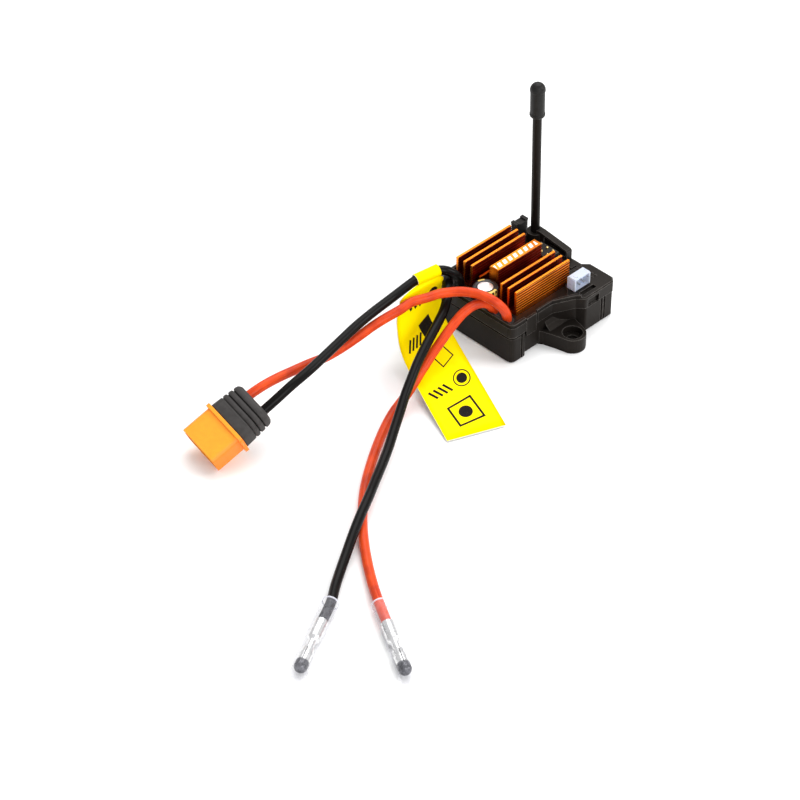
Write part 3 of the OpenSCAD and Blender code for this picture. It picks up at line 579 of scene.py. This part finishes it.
def silicone(name, color, deep, rough, shine, dashes=None):
    """Extruded silicone: satin skin, draw marks, handled patches; dashes is where a row is."""
    p = Paint(name, color, rough, **{"Specular IOR Level": shine, "Coat Weight": 0.12,
                                     "Coat Roughness": 0.12, "Coat IOR": 1.4})
    strip = p.add("ShaderNodeAttribute", attribute_name="strip").outputs["Vector"]
    along, around, _ = p.split(strip)
    drawn = p.add("ShaderNodeTexNoise", {
        "Vector": p.vector("MULTIPLY", strip, (0.12, 5.0, 1)), "Scale": 1.0,
        "Detail": 3.0}).outputs["Fac"]
    patch = p.noise(0.22, 4)
    shade = p.mix(p.ramp(p.math("ADD", drawn, patch), 0.75, 1.25), deep, color)
    if dashes:
        ink = p.math("MULTIPLY", p.ramp(p.away(p.repeat(along, 7.5), 0.25), 0.1, 0.085),
                     p.ramp(p.away(around, dashes), 0.09, 0.06))
        worn = p.ramp(p.noise(1.6, 4), 0.42, 0.6, 0.0, 0.45)
        shade = p.mix(p.math("MULTIPLY", ink, worn), shade, (0.55, 0.55, 0.54))
    p.color(shade)
    p.rough(p.ramp(patch, 0.3, 0.7, rough - 0.05, rough + 0.08))
    p.relief(p.math("ADD", p.math("MULTIPLY", drawn, 0.6), p.math("MULTIPLY", p.noise(7, 3), 0.4)),
             0.02)
    return p.material


def nylon(name, color, rough, glow, clear=0.0, deep=None):
    """Translucent nylon: light bleeds into it, its skin shows flow marks and its edges get a
    painted highlight.
    """
    p = Paint(name, color, rough, **{"Subsurface Weight": glow, "Subsurface Scale": 0.0015,
                                     "Subsurface Radius": (1.0, 0.7, 0.5),
                                     "Transmission Weight": clear})
    flow = p.noise(0.5, 4, 0.6, stretch=(1, 1, 3))
    # Paler edges: painted highlight
    edge = p.math("MULTIPLY", p.edges(0.3), 0.35)
    shade = p.mix(p.ramp(flow, 0.35, 0.7), tuple(c * 0.9 for c in color), color)
    shade = p.mix(edge, shade, tuple(min(1, c * 1.15 + 0.03) for c in color))
    if deep:
        # The narrow sides, picked by their facing, and the inside of the mouth get a deeper
        # colour: painted shade
        across = p.vector("DOT_PRODUCT", p.normal(), tuple(PLUG_TURN @ Vector((0, 1, 0))))
        inside = p.math("MAXIMUM", p.ramp(p.math("ABSOLUTE", across), 0.35, 0.9), p.hollow_shade(3))
        shade = p.mix(p.math("MULTIPLY", inside, 0.85), shade, deep)
    p.color(shade)
    p.rough(p.ramp(flow, 0.3, 0.7, rough - 0.05, rough + 0.07))
    p.relief(p.noise(6, 3), 0.006, bevel=0.18)
    return p.material


def along_terminal(p, node):
    """How far each point of a material is along a terminal, in mm from its sleeve's rear end."""
    start, axis = ENDS[node]
    return p.math("SUBTRACT", p.vector("DOT_PRODUCT", p.place, tuple(axis)), start.dot(axis))


def clear_vinyl(node):
    """Clear soft tube: almost unseen face on, brighter towards its outline and cut ends."""
    p = Paint("clear_vinyl_" + node.split("_")[0], (0.84, 0.84, 0.93), 0.12, IOR=1.45)
    half = SLEEVE_LEN / 2
    rim = p.ramp(p.away(along_terminal(p, node), half), half - 0.5, half - 0.3, 0.0, 0.5)
    facing = p.add("ShaderNodeLayerWeight", {"Blend": 0.35}).outputs["Facing"]
    haze = p.ramp(p.noise(0.7, 4), 0.35, 0.7, 0.0, 0.05)
    outline = p.ramp(facing, 0.5, 0.97, 0.03, 0.5)
    p.set(p.shader, {"Alpha": p.math("ADD", p.math("ADD", haze, rim), outline, clamp=True)})
    p.relief(p.noise(0.8, 3), 0.03)
    return p.material


# ---------------------------------------------------------------- metals
# Where a bullet's dark tip begins, in mm from its sleeve's rear end
BULLET_NECK = 24.2


def plain_metal(name, color, rough, stretch=(1, 1, 8), terminal=None):
    """Drawn or plated metal: fine scratches and dull patches; a terminal's tip is darker."""
    p = Paint(name, color, rough, Metallic=1.0)
    lines = p.noise(3.5, 4, 0.6, stretch=stretch)
    dull = p.ramp(p.noise(0.6, 4), 0.4, 0.7)
    shade = p.mix(dull, color, tuple(c * 0.72 for c in color))
    if terminal:
        tip = p.ramp(along_terminal(p, terminal), BULLET_NECK, BULLET_NECK + 0.7)
        shade = p.mix(tip, shade, (0.05, 0.05, 0.055))
    p.color(shade)
    p.rough(p.math("ADD", p.ramp(lines, 0.3, 0.7, rough - 0.06, rough + 0.08),
                   p.math("MULTIPLY", dull, 0.1)))
    p.relief(lines, 0.008, bevel=0.1)
    return p.material


# The dye's orange; golden is its painted lit colour and maroon its painted shade
ORANGE, LIT_GOLDEN, SHADED_MAROON = (1.0, 0.155, 0.006), (1.0, 0.27, 0.014), (0.16, 0.008, 0.003)
# As in the CAD source, in mm: half width, base and top of the heatsink, grooves of its fins
SINK_HALF, SINK_BASE, SINK_TOP = 12.9, 14.3, 22
GROOVES, GROOVE_FOOT, GROOVE_RUN = 7, SINK_BASE + 0.5, SINK_TOP - SINK_BASE - 0.9


def anodised():
    """Dyed aluminium: painted light on golden tops, fronts and sides, grooved sides with painted
    shade in the grooves, painted shade in deep maroon between the fins, plain marks.
    """
    p = Paint("anodised_orange", ORANGE, 0.3, Metallic=1.0)
    x, y, z = p.split(p.place)
    normal = p.split(p.normal())
    side = p.ramp(p.math("ABSOLUTE", normal[0]), 0.3, 0.6)
    # Inner faces of the fins and the floor between them, where painted shade goes
    inner = p.math("MULTIPLY", side,
                   p.ramp(p.math("ABSOLUTE", x), SINK_HALF - 0.15, SINK_HALF - 0.3))
    floor = p.math("MULTIPLY", p.ramp(normal[2], 0.8, 0.95),
                   p.ramp(z, GROOVE_FOOT + 0.4, GROOVE_FOOT))
    floor = p.math("MULTIPLY", floor, p.ramp(z, SINK_BASE - 0.8, SINK_BASE - 0.5))
    drawn = p.noise(7, 3, 0.6, stretch=(1, 0.03, 1))
    # Dark lines where each groove runs in: painted shade in the grooves
    phase = p.repeat(p.math("SUBTRACT", z, GROOVE_FOOT), GROOVE_RUN / GROOVES)
    line = p.math("MULTIPLY", p.ramp(p.away(phase, 0.4), 0.34, 0.26), side)
    line = p.math("MULTIPLY", line, p.ramp(z, GROOVE_FOOT - 0.3, GROOVE_FOOT))
    shade = p.mix(p.ramp(p.noise(0.25, 4), 0.35, 0.7), tuple(c * 0.86 for c in ORANGE), ORANGE)
    # Golden tops and fronts towards the top, and golden sides: painted light
    up = p.ramp(p.math("MAXIMUM", normal[2], p.math("MULTIPLY", normal[1], -0.95)), 0.5, 0.9)
    shade = p.mix(p.math("MULTIPLY", up, p.ramp(z, SINK_TOP - 7, SINK_TOP - 2)), shade, LIT_GOLDEN)
    shade = p.mix(p.math("MULTIPLY", side, 0.6), shade, LIT_GOLDEN)
    shade = p.mix(p.math("MULTIPLY", line, 0.97), shade, (0.05, 0.003, 0.001))
    # Between the fins: painted shade in deep maroon, deepest low down, with redder groove lines
    # near the top
    gap = p.mix(line, (0.3, 0.03, 0.012), SHADED_MAROON)
    gap = p.mix(p.ramp(z, SINK_TOP - 6, SINK_TOP - 0.4), SHADED_MAROON, gap)
    shade = p.mix(p.math("MAXIMUM", inner, floor), shade, gap)
    # Paler top edges, patchy like rubbing: painted highlight
    rub_and_highlight = p.math("MULTIPLY", p.edges(0.16, 0.004, 0.1), p.ramp(p.noise(1.1, 3), 0.3, 0.6, 0.5, 1))
    rub_and_highlight = p.math("MULTIPLY", rub_and_highlight, p.ramp(z, SINK_TOP - 1.1, SINK_TOP - 0.5, 0.0, 0.8))
    shade = p.mix(rub_and_highlight, shade, (1.0, 0.5, 0.09))
    # Row of plain slanted bars along the centre block's top
    top = p.math("MULTIPLY", p.ramp(normal[2], 0.9, 0.97),
                 p.ramp(z, SINK_TOP - 0.3, SINK_TOP - 0.2))
    slant = p.math("ADD", y, p.math("MULTIPLY", x, 0.35))
    bars = p.ramp(p.away(p.repeat(slant, 2.3), 0.5), 0.31, 0.27)
    field = p.box_mask(x, y, (-0.6, -0.8), (0.9, 9.1))
    bars = p.math("MULTIPLY", p.math("MULTIPLY", bars, field), top)
    p.color(p.mix(bars, shade, (0.95, 0.93, 0.9)))
    p.set(p.shader, {"Metallic": p.math("SUBTRACT", 1.0, bars)})
    p.rough(p.math("ADD", p.ramp(drawn, 0.3, 0.7, 0.24, 0.36), p.math("MULTIPLY", bars, 0.3)))
    p.relief(drawn, 0.01, bevel=0.1)
    return p.material


# ---------------------------------------------------------------- electronics
def board_material():
    """Green solder mask with copper runs under it, plated pads and a cut glass-fibre edge."""
    p = Paint("board_green", (0.01, 0.09, 0.035), 0.35, **{"Coat Weight": 0.4})
    bricks = p.add("ShaderNodeTexBrick", {
        "Vector": p.place, "Scale": 0.9, "Mortar Size": 0.035, "Mortar Smooth": 0.2,
        "Brick Width": 1.7, "Row Height": 0.55}).outputs["Fac"]
    dots = p.add("ShaderNodeTexVoronoi", {"Vector": p.place, "Scale": 0.42,
                                          "Randomness": 0.35}).outputs["Distance"]
    pads = p.ramp(dots, 0.13, 0.11)
    shade = p.mix(bricks, (0.012, 0.11, 0.04), (0.03, 0.2, 0.07))
    shade = p.mix(pads, shade, (0.62, 0.5, 0.25))
    cut = p.ramp(p.math("ABSOLUTE", p.split(p.normal())[2]), 0.5, 0.3)
    p.color(p.mix(cut, shade, (0.3, 0.32, 0.14)))
    p.rough(p.ramp(p.noise(1.5, 4), 0.3, 0.7, 0.28, 0.45))
    p.relief(p.union([bricks, pads]), 0.03)
    return p.material


def chip_material(name, color):
    """Moulded epoxy: fine speckle, with laser-dulled stripes across its top."""
    p = Paint(name, color, 0.55)
    speck = p.noise(7, 3)
    stripes = p.away(p.repeat(p.split(p.place)[1], 1.25), 0.5)
    dull = p.math("MULTIPLY", p.ramp(stripes, 0.2, 0.17),
                  p.ramp(p.split(p.normal())[2], 0.85, 0.95))
    shade = p.mix(speck, tuple(c * 0.7 for c in color), tuple(c * 1.5 for c in color))
    p.color(p.mix(p.math("MULTIPLY", dull, 0.35), shade, (0.16, 0.16, 0.16)))
    p.rough(p.ramp(speck, 0.3, 0.7, 0.5, 0.65))
    p.relief(speck, 0.01, bevel=0.1)
    return p.material


def pad_material():
    """Thermal pad: grey-blue silicone with a woven glass core pressing through."""
    p = Paint("thermal_pad", (0.3, 0.37, 0.45), 0.7)
    x, y, _ = p.split(p.place)
    pitch = 0.5
    warp = p.math("SINE", p.math("MULTIPLY", x, 2 * math.pi / pitch))
    weft = p.math("SINE", p.math("MULTIPLY", y, 2 * math.pi / pitch))
    weave = p.math("MULTIPLY", warp, weft)
    p.color(p.mix(p.ramp(weave, -0.5, 0.8), (0.26, 0.33, 0.41), (0.36, 0.43, 0.51)))
    p.rough(p.ramp(p.noise(1.4, 4), 0.3, 0.7, 0.62, 0.8))
    p.relief(weave, 0.02)
    return p.material


def film_material():
    """Printed shrink film: black gloss with worn gold bands, broken by plain gaps."""
    p = Paint("capacitor_film", (0.012, 0.012, 0.013), 0.28, **{"Specular IOR Level": 0.4})
    low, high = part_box("capacitor_sleeve")
    centre = ((low[0] + high[0]) / 2 / MM, (low[1] + high[1]) / 2 / MM)
    x, y, z = p.split(p.place)
    dx, dy = p.math("SUBTRACT", x, centre[0]), p.math("SUBTRACT", y, centre[1])
    angle = p.math("ARCTAN2", dy, dx)
    far = p.math("SQRT", p.math("ADD", p.math("POWER", dx, 2.0), p.math("POWER", dy, 2.0)))
    front = p.ramp(p.away(angle, -0.2), 0.56, 0.52)
    back = p.ramp(p.away(angle, 2.75), 0.34, 0.3)
    row = p.away(p.repeat(z, 1 / 0.62), 0.5)
    tile = p.away(p.repeat(angle, 1 / 3.1), 0.5)
    gap = p.math("MULTIPLY", p.ramp(row, 0.3, 0.26), p.ramp(tile, 0.3, 0.26))
    gold = p.math("SUBTRACT", p.math("MAXIMUM", front, back), gap, clamp=True)
    gold = p.math("MULTIPLY", gold, p.ramp(far, 3.0, 3.15))
    worn = p.ramp(p.noise(1.4, 4), 0.25, 0.45, 0.75, 1.0)
    p.color(p.mix(p.math("MULTIPLY", gold, worn), (0.012, 0.012, 0.013), (0.85, 0.6, 0.13)))
    p.rough(p.ramp(p.noise(0.8, 4), 0.3, 0.7, 0.22, 0.4))
    p.relief(p.noise(0.9, 3), 0.03)
    return p.material


# ---------------------------------------------------------------- tag's print and paper
def tag_print():
    """Yellow coated face with plain black shapes: frames, discs, rings and bars."""
    yellow = (1.0, 0.82, 0.0)
    p = Paint("tag_print", yellow, 0.5, **{"Specular IOR Level": 0.03})
    strip = p.add("ShaderNodeAttribute", attribute_name="strip").outputs["Vector"]
    u, v, _ = p.split(strip)

    def frame_at(at, half, line, turn):
        return p.math("SUBTRACT", p.box_mask(u, v, at, (half, half), turn=turn),
                      p.box_mask(u, v, at, (half - line, half - line), turn=turn), clamp=True)

    def bars_at(at, count, step, half, turn):
        return [p.box_mask(u, v, (at[0] + step * k, at[1]), half, turn=turn) for k in range(count)]

    masks = [
        # Open square frame round a disc, near the free end
        frame_at((0.4, 9.2), 4.6, 0.75, 0.1), p.ring_mask(u, v, (0.4, 9.2), 0, 2.3),
        # Ring round a disc, with a row of slanted bars beside it
        p.ring_mask(u, v, (5.0, 21), 2.9, 0.22), p.ring_mask(u, v, (5.0, 21), 0, 1.9),
        *bars_at((-6.6, 20.5), 4, 1.9, (0.42, 2.2), 0.5),
        # Small open frame half way up
        frame_at((3.2, 31.5), 2.9, 0.45, 0.3),
        # Solid block with another row of bars
        p.box_mask(u, v, (2.2, 44), (2.7, 2.5), turn=0.3),
        *bars_at((-6.8, 41.5), 4, 1.7, (0.42, 2.0), -0.5),
        # Disc and short bars at the top
        p.ring_mask(u, v, (5.2, 54), 0, 1.9), *bars_at((-4.6, 53), 3, 2.1, (0.5, 1.9), 0.6)]
    back = p.add("ShaderNodeNewGeometry").outputs["Backfacing"]
    ink = p.math("MULTIPLY", p.union(masks), p.math("SUBTRACT", 1.0, back))
    ink = p.math("MULTIPLY", ink, p.ramp(p.noise(3.5, 3), 0.25, 0.4, 0.93, 1.0))
    tone = p.mix(p.ramp(p.noise(0.12, 3), 0.35, 0.7), (1.0, 0.78, 0.0), yellow)
    p.color(p.mix(ink, tone, (0.012, 0.01, 0.01)))
    p.rough(p.ramp(p.noise(0.8, 4), 0.3, 0.7, 0.42, 0.56))
    p.relief(p.math("ADD", p.math("MULTIPLY", p.noise(0.35, 4), 0.8),
                    p.math("MULTIPLY", ink, 0.2)), 0.05)
    return p.material


def tag_paper():
    """Uncoated white back and cut edge of the tag."""
    p = Paint("tag_paper", (0.86, 0.84, 0.74), 0.75)
    fibre = p.noise(5, 4, 0.7, stretch=(1, 0.4, 1))
    p.color(p.mix(fibre, (0.8, 0.78, 0.66), (0.92, 0.9, 0.82)))
    p.rough(p.ramp(fibre, 0.3, 0.7, 0.68, 0.85))
    p.relief(fibre, 0.02)
    return p.material


# ---------------------------------------------------------------- dressing
# Paler colour for the edges of black plastics: partly rubbed wear, partly painted highlight
BLACK_EDGE_RUB_AND_HIGHLIGHT = (0.13, 0.12, 0.112)
BRIGHT = (0.8, 0.8, 0.79)
FINISHES = {
    "case_tub": moulded("case_black", (0.0074, 0.006, 0.005), BLACK_EDGE_RUB_AND_HIGHLIGHT, 0.46),
    "top_cover": moulded("cover_black", (0.0085, 0.007, 0.006), BLACK_EDGE_RUB_AND_HIGHLIGHT, 0.42),
    "case_seal": rubber("seal_rubber", (0.02, 0.02, 0.021)),
    "heatsink": anodised(),
    "heatsink_screws": plain_metal("steel", (0.56, 0.57, 0.58), 0.3),
    "thermal_pad": pad_material(),
    "circuit_board": board_material(),
    "power_transistors": chip_material("transistor_epoxy", (0.012, 0.012, 0.013)),
    "control_chips": chip_material("chip_epoxy", (0.02, 0.02, 0.022)),
    "supply_coil": moulded("coil_ferrite", (0.035, 0.033, 0.032), (0.12, 0.12, 0.12), 0.6),
    "solder_posts": plain_metal("solder", (0.66, 0.66, 0.64), 0.38, stretch=(1, 1, 1)),
    "fan_socket": nylon("socket_nylon", (0.72, 0.78, 0.93), 0.3, 0.2, clear=0.3),
    "fan_pins": plain_metal("pin_tin", (0.7, 0.7, 0.68), 0.24, stretch=(1, 6, 6)),
    "header_base": moulded("header_plastic", (0.012, 0.012, 0.012), BLACK_EDGE_RUB_AND_HIGHLIGHT, 0.42),
    "header_pins": plain_metal("pin_gold", (0.95, 0.68, 0.28), 0.2),
    "bind_plug": moulded("bind_plastic", (0.012, 0.012, 0.0125), BLACK_EDGE_RUB_AND_HIGHLIGHT, 0.38, edge=0.2),
    "bind_plug_clip": plain_metal("clip_gold", (0.9, 0.66, 0.3), 0.26),
    "antenna_tube": moulded("tube_plastic", (0.005, 0.0042, 0.0038), (0.03, 0.028, 0.026), 0.36,
                            grain=0.006),
    "antenna_cap": rubber("cap_rubber", (0.007, 0.0065, 0.006), 0.45),
    "antenna_wire": plain_metal("antenna_core", (0.75, 0.73, 0.7), 0.3),
    "collar_screw": plain_metal("screw_black", (0.06, 0.06, 0.065), 0.35, stretch=(4, 4, 1)),
    "lead_grommets": rubber("grommet_rubber", (0.015, 0.015, 0.015)),
    # The plug's deeper colour on its narrow sides and in its mouth is painted shade
    "plug_housing": nylon("plug_nylon", (0.97, 0.35, 0.006), 0.45, 0.06,
                          deep=(0.95, 0.19, 0.002)),
    "plug_contacts": plain_metal("contact_gold", (0.9, 0.62, 0.25), 0.22),
    "red_bullet": plain_metal("bullet_red_end", BRIGHT, 0.2, terminal="red_sleeve"),
    "black_bullet": plain_metal("bullet_black_end", BRIGHT, 0.2, terminal="black_sleeve")}


def dress(piece, material):
    piece.data.materials.clear()
    piece.data.materials.append(material)


def dress_all():
    """Every CAD node gets its finish, and each finer piece its own material."""
    for node, material in FINISHES.items():
        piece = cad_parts[node]
        for slot in piece.material_slots:
            slot.material = material
    red = silicone("silicone_red", (0.74, 0.07, 0.008), (0.45, 0.031, 0.007), 0.4, 0.15)
    coal = ((0.0045, 0.0038, 0.0035), (0.0025, 0.002, 0.002), 0.34, 0.06)
    black = silicone("silicone_black", *coal)
    marked = silicone("silicone_black_marked", *coal, dashes=2.2)
    dress(leads["battery_lead_red"], red)
    dress(leads["motor_lead_red"], red)
    dress(leads["battery_lead_black"], black)
    dress(leads["motor_lead_black"], marked)
    for node, sleeve in zip(ENDS, sleeves):
        dress(sleeve, clear_vinyl(node))
    for k, material in enumerate((tag_print(), tag_paper())):
        tag.data.materials[k] = material
    dress(capacitor_metal, plain_metal("capacitor_aluminium", (0.88, 0.88, 0.87), 0.3))
    dress(capacitor_film, film_material())
    dress(boot, rubber("boot_rubber", (0.036, 0.033, 0.032), 0.55))


dress_all()


# ---------------------------------------------------------------- studio
def add_floor():
    """Wide white table top."""
    half = 1.6
    mesh = bpy.data.meshes.new("floor")
    mesh.from_pydata([(-half, -half, 0), (half, -half, 0), (half, half, 0), (-half, half, 0)],
                     [], [(0, 1, 2, 3)])
    floor = bpy.data.objects.new("floor", mesh)
    bpy.context.scene.collection.objects.link(floor)
    p = Paint("floor_white", (0.93, 0.93, 0.93), 0.85, **{"Specular IOR Level": 0.1})
    p.color(p.mix(p.noise(0.01, 2), (0.925, 0.925, 0.925), (0.935, 0.935, 0.935)))
    floor.data.materials.append(p.material)


def add_light(name, at, size, power):
    """Square soft box at a place in metres, facing the object."""
    data = bpy.data.lights.new(name, "AREA")
    data.shape, data.size, data.energy = "SQUARE", size, power
    light = bpy.data.objects.new(name, data)
    light.location = at
    light.rotation_euler = (Vector(at) - AIM).to_track_quat("Z", "Y").to_euler()
    bpy.context.scene.collection.objects.link(light)


def add_studio():
    """White surroundings and three soft boxes."""
    add_floor()
    world = bpy.data.worlds.new("studio")
    world.use_nodes = True
    sky = world.node_tree.nodes["Background"].inputs
    sky["Color"].default_value = (1, 1, 1, 1)
    sky["Strength"].default_value = 0.72
    bpy.context.scene.world = world
    bpy.context.scene.view_settings.view_transform = "Standard"
    add_light("key", (-0.25, 0.35, 1.0), 1.0, 10)
    add_light("fill", (1.0, -0.35, 0.6), 0.6, 6)
    add_light("rim", (0.8, 0.67, 0.62), 0.5, 5)


add_studio()
